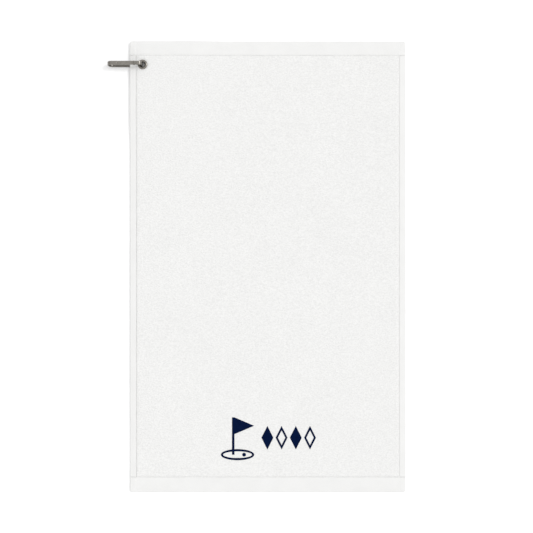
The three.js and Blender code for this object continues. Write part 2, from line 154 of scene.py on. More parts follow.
def middle(x, y):
    """Height of the cloth's middle: flat, with gentle waves, and lifted where it rests over the hook."""
    from_hole = np.hypot(x - HOLE_X, y - HOLE_Y)
    lift = CORNER_LIFT * (1 - smooth(from_hole, LIFT_START, LIFT_END))
    free = smooth(from_hole, LIFT_START, LIFT_START + WAVE_FADE)
    waves = WAVE * (0.5 + 0.35 * noise(x, y, 95, 3) + 0.15 * noise(x, y, 47, 4))
    inward = edge_distance(x, y)
    ripple = EDGE_RIPPLE * (0.5 + 0.5 * noise(x, y, 34, 5)) * np.exp(-inward / 18)
    return FIELD_THICKNESS / 2 + lift + free * (waves + ripple)


def groove(x, y):
    """Depth of the crease that a row of stitches draws into a hem, deeper at each needle hole."""
    across = np.exp(-((np.abs(np.abs(x) - side_seam) / GROOVE_WIDTH) ** 2))
    ends = np.minimum(np.abs(y - head_seam), np.abs(y - foot_seam))
    along = np.exp(-((ends / GROOVE_WIDTH) ** 2))
    beat_x = 0.5 + 0.5 * np.cos(2 * math.pi * x / STITCH_PITCH)
    beat_y = 0.5 + 0.5 * np.cos(2 * math.pi * y / STITCH_PITCH)
    return np.maximum(
        SIDE_GROOVE_DEPTH * across * (0.7 + 0.3 * beat_y),
        END_GROOVE_DEPTH * along * (0.7 + 0.3 * beat_x),
    )


def hem_middle(x, y):
    """A hem droops a little towards its outer edge, onto the surface."""
    return middle(x, y) - HEM_DROOP * (1 - smooth(edge_distance(x, y), 0, 6))


def hem_half(x, y):
    """Half thickness of a hem away from its inner edge."""
    fold = rounded(edge_distance(x, y) / FOLD_RADIUS)
    puff = 0.07 * noise(x, y, 9, 11) + 0.04 * noise(x, y, 3.1, 12)
    return fold * (HEM_HALF + puff - groove(x, y))


# ---------- meshes ----------
def add_mesh(name, points, faces, materials, indices=None, sharp=40):
    mesh = bpy.data.meshes.new(name)
    mesh.from_pydata((np.asarray(points, float) * MM).tolist(), [], faces)
    for material in materials:
        mesh.materials.append(material)
    if indices is not None:
        mesh.polygons.foreach_set("material_index", indices)
    mesh.shade_smooth()
    mesh.set_sharp_from_angle(angle=math.radians(sharp))
    mesh.update()
    piece = bpy.data.objects.new(name, mesh)
    bpy.context.scene.collection.objects.link(piece)
    return piece


def pillow(name, x, y, top, bottom, materials, opening=None):
    """A closed sheet over a grid of plan points, with a top and a bottom that share the grid's rim.

    opening marks the cells that are left out, whose edges get a wall."""
    rows, columns = x.shape
    upper = np.arange(rows * columns).reshape(rows, columns)
    lower = upper + rows * columns
    rim = np.zeros(x.shape, bool)
    rim[0], rim[-1], rim[:, 0], rim[:, -1] = True, True, True, True
    lower[rim] = upper[rim]
    level = np.where(rim, (top + bottom) / 2, top)
    points = np.concatenate([
        np.stack([x, y, level], -1).reshape(-1, 3),
        np.stack([x, y, bottom], -1).reshape(-1, 3),
    ])
    kept = np.ones((rows - 1, columns - 1), bool) if opening is None else ~opening

    def quads(index):
        cells = np.stack([index[:-1, :-1], index[1:, :-1], index[1:, 1:], index[:-1, 1:]], -1)
        return cells[kept]

    over = quads(upper)
    under = quads(lower)[:, ::-1]
    faces = over.tolist() + under.tolist()
    indices = [0] * len(over) + [len(materials) - 1] * len(under)
    if opening is not None:
        walls = []
        for i, j in np.argwhere(opening):
            ring = [(i, j), (i + 1, j), (i + 1, j + 1), (i, j + 1)]
            beside = [(i, j - 1), (i + 1, j), (i, j + 1), (i - 1, j)]
            for side, neighbour in enumerate(beside):
                if kept[neighbour]:
                    a, b = ring[side], ring[(side + 1) % 4]
                    walls.append([int(k) for k in (upper[a], upper[b], lower[b], lower[a])])
        faces += walls
        indices += [0] * len(walls)
    used, compact = np.unique(np.concatenate([np.ravel(f) for f in faces]), return_inverse=True)
    split = np.cumsum([len(f) for f in faces])[:-1]
    faces = [f.tolist() for f in np.split(compact, split)]
    return add_mesh(name, points[used], faces, materials, indices)


def loft(name, rings, materials, sharp=40):
    """A solid through rings of equally many points, with flat ends."""
    rings = np.asarray(rings, float)
    count, sides = rings.shape[:2]
    index = np.arange(count * sides).reshape(count, sides)
    ahead = np.roll(index, -1, axis=1)
    faces = np.stack([index[:-1], ahead[:-1], ahead[1:], index[1:]], -1).reshape(-1, 4).tolist()
    faces.append(index[0, ::-1].tolist())
    faces.append(index[-1].tolist())
    piece = add_mesh(name, rings.reshape(-1, 3), faces, materials, sharp=sharp)
    outward(piece)
    return piece


def outward(piece):
    """Turns the faces of a closed mesh outward if they point in."""
    mesh = piece.data
    volume = 0.0
    mesh.calc_loop_triangles()
    for triangle in mesh.loop_triangles:
        a, b, c = (mesh.vertices[i].co for i in triangle.vertices)
        volume += a.dot(b.cross(c))
    if volume < 0:
        mesh.flip_normals()


def revolve(name, profile, centre, materials, axis="Z", steps=96, sharp=40):
    """A body turned from a closed profile of (radius, height) points, or one that ends on the axis."""
    profile = np.asarray(profile, float)
    angles = np.linspace(0, 2 * math.pi, steps, endpoint=False)
    count = len(profile)
    points, faces = [], []
    for angle in angles:
        for radius, height in profile:
            points.append((radius * math.cos(angle), radius * math.sin(angle), height))
    for i in range(steps):
        for j in range(count):
            a, b = i * count + j, i * count + (j + 1) % count
            c, d = ((i + 1) % steps) * count + (j + 1) % count, ((i + 1) % steps) * count + j
            faces.append([a, b, c, d])
    points = np.array(points)
    if axis == "Y":
        points = points[:, [0, 2, 1]] * [1, 1, -1]
    merged, keys = [], {}
    remap = []
    for point in points + np.asarray(centre, float):
        key = tuple(np.round(point, 5))
        if key not in keys:
            keys[key] = len(merged)
            merged.append(point)
        remap.append(keys[key])
    clean = []
    for face in faces:
        ring = []
        for corner in (remap[k] for k in face):
            if corner not in ring:
                ring.append(corner)
        if len(ring) > 2:
            clean.append(ring)
    piece = add_mesh(name, merged, clean, materials, sharp=sharp)
    outward(piece)
    return piece


def drill(piece, tools):
    """Cuts the tools out of a piece, whose faces are made flat first, and removes the tools."""
    shape = bmesh.new()
    shape.from_mesh(piece.data)
    bmesh.ops.triangulate(shape, faces=shape.faces)
    shape.to_mesh(piece.data)
    shape.free()
    for tool in tools:
        cut = piece.modifiers.new("cut", "BOOLEAN")
        cut.operation = "DIFFERENCE"
        cut.solver = "EXACT"
        cut.object = tool
    bpy.context.view_layer.update()
    evaluated = piece.evaluated_get(bpy.context.evaluated_depsgraph_get())
    mesh = bpy.data.meshes.new_from_object(evaluated)
    piece.modifiers.clear()
    piece.data = mesh
    for tool in tools:
        bpy.data.objects.remove(tool)
    mesh.set_sharp_from_angle(angle=math.radians(35))
    return piece


# ---------- materials ----------
class Nodes:
    """A procedural material on object coordinates, in metres."""

    def __init__(self, name):
        self.material = bpy.data.materials.new(name)
        self.material.use_nodes = True
        self.tree = self.material.node_tree
        self.shader = self.tree.nodes["Principled BSDF"]
        self.place = self.tree.nodes.new("ShaderNodeTexCoord").outputs["Object"]

    def node(self, kind, inputs=(), **settings):
        node = self.tree.nodes.new(kind)
        for key, value in settings.items():
            setattr(node, key, value)
        for key, value in dict(inputs).items():
            if isinstance(value, bpy.types.NodeSocket):
                self.tree.links.new(value, node.inputs[key])
            else:
                node.inputs[key].default_value = value
        return node

    def stretched(self, scale):
        return self.node("ShaderNodeMapping", {"Vector": self.place, "Scale": scale}).outputs[0]

    def grain(self, size, detail=2.0, roughness=0.55, vector=None):
        """Noise with features of that size in millimetres."""
        inputs = {
            "Vector": vector or self.place,
            "Scale": 1 / (size * MM),
            "Detail": detail,
            "Roughness": roughness,
        }
        return self.node("ShaderNodeTexNoise", inputs).outputs["Fac"]

    def spread(self, value, low, high, start=0.3, end=0.7):
        inputs = {"Value": value, "From Min": start, "From Max": end, "To Min": low, "To Max": high}
        return self.node("ShaderNodeMapRange", inputs).outputs[0]

    def maths(self, operation, a, b):
        return self.node("ShaderNodeMath", {0: a, 1: b}, operation=operation).outputs[0]

    def blend(self, share, a, b):
        inputs = {"Factor": share, 6: a, 7: b}
        return self.node("ShaderNodeMix", inputs, data_type="RGBA").outputs[2]

    def bump(self, height, strength, distance, normal=None):
        inputs = {"Height": height, "Strength": strength, "Distance": distance * MM}
        if normal is not None:
            inputs["Normal"] = normal
        return self.node("ShaderNodeBump", inputs).outputs[0]

    def set(self, **values):
        for key, value in values.items():
            socket = self.shader.inputs[key.replace("_", " ")]
            if isinstance(value, bpy.types.NodeSocket):
                self.tree.links.new(value, socket)
            else:
                socket.default_value = value


def grey(value, warmth=0.012):
    """A linear grey that leans a little to yellow."""
    return (value, value * (1 - warmth / 10), value * (1 - warmth), 1)


def velour_material():
    """Sheared cotton pile: fine tips with tufts between. Its colour carries painted shade: lighter on the
    tips and tufts, darker between them, and faint painted shading patches where the nap lies over.
    """
    n = Nodes("velour")
    tips = n.grain(0.5, 3, 0.7)
    tufts = n.grain(1.15, 2, 0.6, n.stretched((0.62, 1, 1)))
    painted_nap_shade = n.grain(38, 2, 0.5)
    # Painted shade: the pile's colour is lighter where its tips and tufts stand up and darker between them,
    # and the nap patches are painted shading.
    tone = n.maths("ADD", n.spread(tips, -0.3, 0.3), n.spread(tufts, -0.34, 0.34))
    tone = n.maths("ADD", tone, n.spread(painted_nap_shade, 0.46, 0.54))
    colour = n.blend(tone, grey(0.725), grey(0.865))
    fine = n.bump(tips, 0.9, 0.4)
    n.set(
        Base_Color=colour,
        Roughness=0.95,
        Specular_IOR_Level=0.15,
        Sheen_Weight=0.12,
        Sheen_Roughness=0.45,
        Normal=n.bump(tufts, 0.7, 0.6, fine),
    )
    return n.material


def terry_material():
    """Uncut loops on the back, in rows along the warp, with painted shade: lighter on the loops' tops,
    darker in the hollows between them.
    """
    n = Nodes("terry_loops")
    rows = n.stretched((1, 0.62, 1))
    inputs = {"Vector": rows, "Scale": 1 / (1.25 * MM), "Randomness": 0.75}
    loops = n.node("ShaderNodeTexVoronoi", inputs).outputs["Distance"]
    fuzz = n.grain(0.4, 3, 0.7)
    # Painted shade: the colour follows the loops' height, darker in the hollows between the loops.
    depth = n.maths("ADD", n.spread(loops, 1, 0, 0.0, 0.75), n.spread(fuzz, -0.12, 0.12))
    colour = n.blend(depth, grey(0.6), grey(0.83))
    n.set(
        Base_Color=colour,
        Roughness=0.95,
        Specular_IOR_Level=0.15,
        Sheen_Weight=0.12,
        Sheen_Roughness=0.5,
        Normal=n.bump(depth, 0.9, 0.7),
    )
    return n.material


def hem_material():
    """Flat plain weave, with painted shade between its threads."""
    n = Nodes("hem_weave")
    threads = []
    for direction in ("X", "Y"):
        inputs = {
            "Vector": n.place,
            "Scale": 2 * math.pi / (0.62 * MM) / 20,
            "Distortion": 0.6,
            "Detail": 1.0,
            "Detail Scale": 2.0,
        }
        wave = n.node("ShaderNodeTexWave", inputs, bands_direction=direction, wave_profile="SIN")
        threads.append(wave.outputs["Fac"])
    weave = n.maths("MULTIPLY", threads[0], threads[1])
    fuzz = n.grain(0.35, 2, 0.6)
    patch = n.grain(14, 2, 0.5)
    # Partly painted shade: the weave makes the colour lighter on the thread crossings and darker in the
    # gaps between threads; the patches and fuzz are the cloth's own uneven tone.
    tone = n.maths("ADD", n.spread(weave, 0.2, 0.7, 0, 1), n.spread(patch, -0.15, 0.15))
    tone = n.maths("ADD", tone, n.spread(fuzz, -0.1, 0.1))
    colour = n.blend(tone, grey(0.75), grey(0.82))
    n.set(
        Base_Color=colour,
        Roughness=0.85,
        Specular_IOR_Level=0.2,
        Sheen_Weight=0.08,
        Sheen_Roughness=0.5,
        Normal=n.bump(weave, 0.35, 0.2, n.bump(fuzz, 0.3, 0.15)),
    )
    return n.material


def thread_material():
    """Twisted sewing thread, with painted shade: lighter where the ply stands up, darker in its grooves."""
    n = Nodes("sewing_thread")
    twist = n.stretched((1, 1, 2.5))
    ply = n.grain(0.3, 2, 0.5, twist)
    # Painted shade: the thread's colour follows the ply's height, darker in its grooves.
    colour = n.blend(n.spread(ply, 0, 1), grey(0.8), grey(0.86))
    n.set(Base_Color=colour, Roughness=0.6, Specular_IOR_Level=0.3, Normal=n.bump(ply, 0.4, 0.1))
    return n.material


def ink_material():
    """Navy print that has soaked into the tips of the pile, with painted shade between the tips."""
    n = Nodes("navy_ink")
    tips = n.grain(0.5, 3, 0.7)
    patch = n.grain(3.5, 2, 0.5)
    # Partly painted shade: the ink is lighter on the raised tips and darker between them; the larger
    # patches are the print's own uneven tone.
    tone = n.maths("ADD", n.spread(tips, -0.3, 0.3), n.spread(patch, 0.3, 0.7))
    colour = n.blend(tone, (0.0003, 0.0036, 0.024, 1), (0.0016, 0.0085, 0.044, 1))
    n.set(
        Base_Color=colour,
        Roughness=0.8,
        Specular_IOR_Level=0.03,
        Normal=n.bump(tips, 0.45, 0.3),
    )
    return n.material


def plate_tone(value):
    """The plate's slightly warm grey."""
    return (value, value * 0.94, value * 0.85, 1)


def plated_material(name, base, roughness):
    """Nickel plate over pressed steel: slight orange peel, fine handling marks, duller patches."""
    n = Nodes(name)
    peel = n.grain(0.45, 2, 0.5)
    patch = n.grain(2.6, 3, 0.6)
    marks = n.grain(0.12, 2, 0.6, n.stretched((0.12, 1, 1)))
    colour = n.blend(n.spread(patch, 0, 1), plate_tone(base * 0.88), plate_tone(base * 1.1))
    rough = n.maths("ADD", n.spread(patch, roughness + 0.07, roughness - 0.05),
                    n.spread(marks, -0.04, 0.06))
    n.set(
        Base_Color=colour,
        Metallic=1.0,
        Roughness=rough,
        Normal=n.bump(marks, 0.12, 0.03, n.bump(peel, 0.12, 0.05)),
    )
    return n.material


def floor_material():
    n = Nodes("floor")
    tone = n.grain(400, 2, 0.5)
    n.set(Base_Color=n.blend(tone, grey(0.97, 0), grey(0.985, 0)), Roughness=0.9, Specular_IOR_Level=0.1)
    return n.material


VELOUR = velour_material()
TERRY = terry_material()
HEM = hem_material()
THREAD = thread_material()
INK = ink_material()
NICKEL = plated_material("nickel_plate", 0.225, 0.28)
GROMMET = plated_material("grommet_plate", 0.25, 0.24)
SPRING = plated_material("spring_steel", 0.2, 0.28)


# ---------- cloth ----------
def graded(start, end, step, rim=(0, 0.3, 0.7, 1.2, 1.8)):
    """Grid lines from start to end, closer together next to both ends."""
    close = np.array(rim)
    inside = np.linspace(start + close[-1] + step / 2, end - close[-1] - step / 2,
                         max(2, int(round((end - start - 2 * close[-1]) / step))))
    return np.concatenate([start + close, inside, end - close[::-1]])


def with_fine(lines, centre, reach, step, margin=0.1):
    """Replaces the lines within reach of centre with finer ones, between the two end lines."""
    fine = np.arange(centre - reach, centre + reach + step / 2, step)
    fine = fine[(fine > lines[0] + margin) & (fine < lines[-1] - margin)]
    inner = lines[1:-1]
    outside = inner[(inner < fine[0] - step) | (inner > fine[-1] + step)]
    return np.sort(np.concatenate([lines[[0, -1]], outside, fine]))


def towel_field():
    """Velour face and terry back, tucked into the seams and pinched by the grommet."""
    low = field_low[:2] - FIELD_REACH
    high = field_high[:2] + FIELD_REACH
    columns = with_fine(graded(low[0], high[0], CLOTH_CELL), HOLE_X, FINE_REACH, FINE_CELL)
    rows = with_fine(graded(low[1], high[1], CLOTH_CELL), HOLE_Y, FINE_REACH, FINE_CELL)
    x, y = np.meshgrid(columns, rows, indexing="ij")
    from_hole = np.hypot(x - HOLE_X, y - HOLE_Y)
    near = (from_hole > 0.5) & (from_hole < HOLE_WALL + 0.35)
    draw = np.where(near & (from_hole > HOLE_WALL - 0.35), HOLE_WALL / np.maximum(from_hole, 1), 1)
    x = HOLE_X + (x - HOLE_X) * draw
    y = HOLE_Y + (y - HOLE_Y) * draw
    from_hole = np.hypot(x - HOLE_X, y - HOLE_Y)
    inward = np.minimum(
        np.minimum(x - low[0], high[0] - x),
        np.minimum(y - low[1], high[1] - y),
    )
    shoulder = rounded(inward / SHOULDER)
    angle = np.arctan2(y - HOLE_Y, x - HOLE_X)
    pinch = smooth(from_hole, PINCH_START, PINCH_END)
    pucker = 0.09 * np.cos(PUCKERS * angle + 1.3) * np.exp(-(((from_hole - PINCH_END) / 1.8) ** 2))
    pile = 0.07 * noise(x, y, 2.1, 21) + 0.05 * noise(x, y, 4.3, 22) + 0.08 * noise(x, y, 17, 23)
    loops = 0.12 * noise(x, y, 1.9, 24) + 0.07 * noise(x, y, 5.1, 25)
    over = (FIELD_THICKNESS / 2 + pile) * shoulder
    under = (FIELD_THICKNESS / 2 - 0.1 + loops) * shoulder
    over = PINCHED_HALF + (over - PINCHED_HALF) * pinch + pucker
    under = PINCHED_HALF + (under - PINCHED_HALF) * pinch - pucker
    level = middle(x, y)
    centre_x = (x[:-1, :-1] + x[1:, 1:]) / 2
    centre_y = (y[:-1, :-1] + y[1:, 1:]) / 2
    opening = np.hypot(centre_x - HOLE_X, centre_y - HOLE_Y) < HOLE_WALL
    return pillow("towel_cloth", x, y, level + over, level - under, [VELOUR, TERRY], opening)


def outline_y(x):
    """How far the towel reaches along Y at x, with its round corners."""
    past = np.clip(np.abs(x) - (HALF_WIDTH - CORNER_RADIUS), 0, CORNER_RADIUS)
    return HALF_LENGTH - CORNER_RADIUS + np.sqrt(CORNER_RADIUS**2 - past**2)


def hem_pillow(name, x, y, from_inner):
    """A hem over plan points, given each one's distance from the hem's inner edge."""
    inner = rounded(from_inner / 0.5)
    half = hem_half(x, y) * inner
    level = hem_middle(x, y)
    return pillow(name, x, y, level + half, level - half, [HEM])


HEM_LINES = np.array([0, 0.12, 0.3, 0.5, 0.7, 0.95, 1.25])


def end_hem(name, inner, side):
    """The folded hem across the head (side 1) or the foot (side -1)."""
    corner = (0, 0.08, 0.25, 0.5, 0.8, 1.2, 1.8, 2.5, 3.3, 4.2, 5)
    columns = graded(-HALF_WIDTH, HALF_WIDTH, 0.85, corner)
    depth = HALF_LENGTH - abs(inner)
    edge = graded(0, depth, 0.62, HEM_LINES) / depth
    x, share = np.meshgrid(columns, edge, indexing="ij")
    y = inner + share * (side * outline_y(x) - inner)
    piece = hem_pillow(name, x, y, np.abs(y - inner))
    outward(piece)
    return piece


def side_hem(name, inner, side):
    """The folded hem along the right (side 1) or the left (side -1), between the end hems."""
    depth = HALF_WIDTH - abs(inner)
    columns = inner + side * graded(0, depth, 0.55, HEM_LINES)
    rows = graded(foot_seam + HEM_TUCK, head_seam - HEM_TUCK, 0.85, HEM_LINES)
    x, y = np.meshgrid(columns, rows, indexing="ij")
    from_ends = np.minimum(y - rows[0], rows[-1] - y)
    from_inner = np.minimum(np.abs(x - inner), from_ends)
    piece = hem_pillow(name, x, y, from_inner)
    outward(piece)
    return piece


def seam_thread(name, start, end, face):
    """One thread of a seam: it lies on the hem between needle holes and dips into each hole."""
    start, end = np.array(start, float), np.array(end, float)
    length = np.linalg.norm(end - start)
    ahead = (end - start) / length
    count = int(length / STITCH_PITCH)
    shape = [(0.0, -1.6), (0.1, -0.35), (0.22, 0.35), (0.5, 0.55), (0.78, 0.35), (0.9, -0.35)]
    along, rise = [], []
    for stitch in range(count):
        for share, height in shape:
            along.append((stitch + share) * STITCH_PITCH)
            rise.append(height * THREAD_RADIUS)
    along, rise = np.array(along), np.array(rise)
    plan = start + along[:, None] * ahead
    x, y = plan[:, 0], plan[:, 1]
    sway = 0.07 * noise(along, along * 0 + 3, 2.3, 31)
    x = x - ahead[1] * sway
    y = y + ahead[0] * sway
    height = hem_middle(x, y) + face * (hem_half(x, y) + rise)
    angles = np.linspace(0, 2 * math.pi, 8, endpoint=False)
    across = np.array([-ahead[1], ahead[0], 0])
    centre = np.stack([x, y, height], -1)
    rings = [
        point + THREAD_RADIUS * (1.15 * np.cos(a) * across + 0.85 * np.sin(a) * np.array([0, 0, 1]))
        for point in centre for a in angles
    ]
    return loft(name, np.array(rings).reshape(len(centre), len(angles), 3), [THREAD], sharp=80)


# ---------- print ----------
PRINT_LIFT = 0.06
INK_THICKNESS = 0.16
PRINT_LINE = 2.2  # width of the green's outline and of an open diamond's
GREEN_RADIUS_Y = 5.6
POLE = (-36.2, -33.8)  # left and right side of the flag's pole
PENNANT_LENGTH = 20
PENNANT_DROP = 17
print_boxes = {name: corners(name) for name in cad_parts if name.startswith("printed_")}


def inside_ellipse(x, y, centre, radii):
    return ((x - centre[0]) / radii[0]) ** 2 + ((y - centre[1]) / radii[1]) ** 2 < 1


def inside_polygon(x, y, polygon):
    found = False
    for (x0, y0), (x1, y1) in zip(polygon, polygon[1:] + polygon[:1]):
        if (y0 > y) != (y1 > y) and x < x0 + (y - y0) * (x1 - x0) / (y1 - y0):
            found = not found
    return found


def ellipse_points(centre, radii, step=0.5):
    count = int(2 * math.pi * max(radii) / step)
    turns = [2 * math.pi * i / count for i in range(count)]
    return [(centre[0] + radii[0] * math.cos(t), centre[1] + radii[1] * math.sin(t)) for t in turns]


def along_edges(polygon, step=0.6):
    """The polygon's outline with points about step apart."""
    points = []
    for (x0, y0), (x1, y1) in zip(polygon, polygon[1:] + polygon[:1]):
        count = max(1, int(math.hypot(x1 - x0, y1 - y0) / step))
        points += [(x0 + (x1 - x0) * i / count, y0 + (y1 - y0) * i / count) for i in range(count)]
    return points


def ink_layer(name, loops, inside):
    """A thin printed layer that lies on the pile, from its outlines and a test of what is printed."""
    plan, edges = [], []
    for loop in loops:
        first = len(plan)
        plan += [Vector(point) for point in loop]
        edges += [(first + i, first + (i + 1) % len(loop)) for i in range(len(loop))]
    low = [min(p[i] for p in plan) for i in (0, 1)]
    high = [max(p[i] for p in plan) for i in (0, 1)]
    for gx in np.arange(low[0] + 0.35, high[0], 0.75):
        for gy in np.arange(low[1] + 0.35, high[1], 0.75):
            if inside(gx, gy):
                plan.append(Vector((float(gx), float(gy))))
    corners_2d, _, triangles = geometry.delaunay_2d_cdt(plan, edges, [], 0, 1e-4)[:3]
    kept = []
    for triangle in triangles:
        cx, cy = (sum(corners_2d[i][k] for i in triangle) / 3 for k in (0, 1))
        if inside(cx, cy):
            kept.append(list(triangle))
    used = sorted({i for triangle in kept for i in triangle})
    number = {old: new for new, old in enumerate(used)}
    kept = [[number[i] for i in triangle] for triangle in kept]
    flat = np.array([corners_2d[i] for i in used])
    x, y = flat[:, 0], flat[:, 1]
    pile = 0.05 * noise(x, y, 1.4, 41)
    level = middle(x, y) + FIELD_THICKNESS / 2 + 0.08 * noise(x, y, 17, 23)
    count = len(flat)
    top = np.stack([x, y, level + PRINT_LIFT + INK_THICKNESS + pile], -1)
    bottom = np.stack([x, y, level + PRINT_LIFT - INK_THICKNESS], -1)
    faces = kept + [[i + count for i in reversed(triangle)] for triangle in kept]
    owners = {}
    for triangle in kept:
        for a, b in zip(triangle, triangle[1:] + triangle[:1]):
            owners[(a, b)] = True
    for a, b in owners:
        if (b, a) not in owners:
            faces.append([b, a, a + count, b + count])
    piece = add_mesh(name, np.concatenate([top, bottom]), faces, [INK], sharp=50)
    outward(piece)
    return piece


def printed_flag():
    """A flag standing in a green that is drawn as an oval line."""
    low, high = print_boxes["printed_flag"]
    green_radii = ((high[0] - low[0]) / 2, GREEN_RADIUS_Y)
    green = ((low[0] + high[0]) / 2, low[1] + green_radii[1])
    left, right = POLE
    flag = [
        (left, green[1]),
        (right, green[1]),
        (right, high[1] - PENNANT_DROP),
        (right + PENNANT_LENGTH, high[1] - PENNANT_DROP / 2),
        (right, high[1]),
        (left, high[1]),
    ]
    inner_radii = (green_radii[0] - PRINT_LINE, green_radii[1] - PRINT_LINE)

    def inside(x, y):
        ring = inside_ellipse(x, y, green, green_radii) and not inside_ellipse(x, y, green, inner_radii)
        return ring or inside_polygon(x, y, flag)

    loops = [ellipse_points(green, green_radii), ellipse_points(green, inner_radii), along_edges(flag)]
    return ink_layer("print_flag", loops, inside)


def printed_ball():
    low, high = print_boxes["printed_ball"]
    centre = (low + high)[:2] / 2
    radii = (high - low)[:2] / 2
    return ink_layer("print_ball", [ellipse_points(centre, radii, 0.4)],
                     lambda x, y: inside_ellipse(x, y, centre, radii))


def printed_diamond(index):
    """Solid diamonds alternate with open ones."""
    low, high = print_boxes[f"printed_diamond_{index}"]
    centre = (low + high)[:2] / 2
    half = (high - low)[:2] / 2

    def diamond(share):
        return [
            (centre[0] + share * half[0], centre[1]),
            (centre[0], centre[1] + share * half[1]),
            (centre[0] - share * half[0], centre[1]),
            (centre[0], centre[1] - share * half[1]),
        ]

    outer = diamond(1)
    hollow = diamond(1 - PRINT_LINE / half[0]) if index % 2 == 0 else None

    def inside(x, y):
        return inside_polygon(x, y, outer) and not (hollow and inside_polygon(x, y, hollow))

    loops = [along_edges(outer)] + ([along_edges(hollow)] if hollow else [])
    return ink_layer(f"print_diamond_{index}", loops, inside)


# ---------- metal ----------
STRIP = 1.3
EDGE_ROUND = 0.34
NEAR_BEND = 3.2
FAR_BEND = 5.2
NOSE = 5.0
LAP = 1.9
LAP_GAP = 0.1
TANG_WIDTH = 1.8
TANG_GAP = 0.12
KNUCKLE = 1.0
PIN_HOLE = 0.51
PIN_RADIUS = 0.45
PIN_HEAD_HEIGHT = 0.18
SPRING_RIVET_RADIUS = 0.4
SPRING_RIVET_HEIGHT = 0.2
LEAF_THICKNESS = 0.22
SHANK_TO_PIVOT = 1.3
KNUCKLE_CLEARANCE = 0.25
strip_inside = HOOK_HEIGHT - STRIP
nose_end = hook_low[0] + FAR_BEND + NOSE
gate_end = nose_end - LAP
shank_end = PIVOT_X + SHANK_TO_PIVOT


def section(width, low, high, radius=EDGE_ROUND, steps=5):
    """Points (across, up) round a rectangle with round corners."""
    radius = min(radius, width / 2.05, (high - low) / 2.05)
    points = []
    for corner, (sx, sy) in enumerate([(1, 1), (-1, 1), (-1, -1), (1, -1)]):
        cx = sx * (width / 2 - radius)
        cy = (high - radius) if sy > 0 else (low + radius)
        for i in range(steps + 1):
            angle = math.pi / 2 * (corner + i / steps)
            points.append((cx + radius * math.cos(angle), cy + radius * math.sin(angle)))
    return points


def ring_at(x, z, nx, nz, width, low, high, radius=EDGE_ROUND):
    """A section whose up direction is (nx, nz) in the hook's plane, at the point (x, z)."""
    return [
        (x + nx * up, HOLE_Y + across, z + nz * up)
        for across, up in section(width, low, high, radius)
    ]


def arc(cx, cz, radius, start, end, step=4):
    """Points and outward directions round an arc, with angles in degrees from +X towards +Z."""
    count = max(2, int(abs(end - start) / step))
    for i in range(count + 1):
        angle = math.radians(start + (end - start) * i / count)
        yield cx + radius * math.cos(angle), cz + radius * math.sin(angle), math.cos(angle), math.sin(angle)


def straight(x0, x1, z, nz, step=1.5):
    count = max(1, int(abs(x1 - x0) / step))
    for i in range(count + 1):
        yield x0 + (x1 - x0) * i / count, z, 0, nz


def hook_frame():
    """The bent strip, from the tang at the pivot round the grommet end and the far end to the nose."""
    half = STRIP / 2
    top = HOOK_HEIGHT - half
    near, far = hook_high[0], hook_low[0]
    rings = []
    for i in range(11):
        angle = math.pi / 2 * (1 - i / 10)
        x = PIVOT_X - KNUCKLE * math.sin(angle)
        reach = max(KNUCKLE * math.cos(angle), 0.05)
        rings.append(ring_at(x, PIVOT_Z, 0, 1, TANG_WIDTH, -reach, reach, 0.12))
    upper = HOOK_HEIGHT - PIVOT_Z
    for x, low in ((PIVOT_X + 0.6, -KNUCKLE * 0.82), (shank_end - 0.02, strip_inside - PIVOT_Z)):
        rings.append(ring_at(x, PIVOT_Z, 0, 1, TANG_WIDTH, low, upper, 0.12))
    for inset, x in ((0.14, 0.0), (0.05, 0.05), (0.0, 0.16)):
        rings.append(ring_at(shank_end + x, top, 0, 1, STRIP_WIDTH - 2 * inset, inset - half, half - inset))
    path = list(straight(shank_end + 0.5, near - NEAR_BEND, top, 1))
    path += arc(near - NEAR_BEND, HOOK_HEIGHT - NEAR_BEND, NEAR_BEND - half, 90, 0)
    path += arc(near - NEAR_BEND, NEAR_BEND, NEAR_BEND - half, 0, -90)
    path += straight(near - NEAR_BEND - 1, far + FAR_BEND + 1, half, -1)
    path += arc(far + FAR_BEND, FAR_BEND, FAR_BEND - half, 270, 180)
    path += arc(far + FAR_BEND, HOOK_HEIGHT - FAR_BEND, FAR_BEND - half, 180, 90)
    path += straight(far + FAR_BEND + 0.7, gate_end - LAP_GAP - 0.05, top, 1)
    for x, z, nx, nz in path:
        rings.append(ring_at(x, z, nx, nz, STRIP_WIDTH, -half, half))
    low = LAP_GAP / 2
    lip = [(gate_end - LAP_GAP, 0), (gate_end - LAP_GAP + 0.3, 0), (nose_end - 0.14, 0),
           (nose_end - 0.05, 0.04), (nose_end, 0.13)]
    for x, inset in lip:
        rings.append(ring_at(x, top, 0, 1, STRIP_WIDTH - 2 * inset, low + inset, half - inset, 0.2))
    piece = loft("hook_strip", rings, [NICKEL])
    return drill(piece, [peg("pin_hole", PIN_HOLE, 3, (PIVOT_X, PIVOT_Z), "Y")])


def peg(name, radius, length, centre, axis):
    """A plain cylinder for cutting, across the hook along Y, or upright along Z."""
    profile = [(0, -length / 2), (radius, -length / 2), (radius, length / 2), (0, length / 2)]
    return revolve(name, profile, (centre[0], HOLE_Y, centre[1]), [NICKEL], axis, 48)


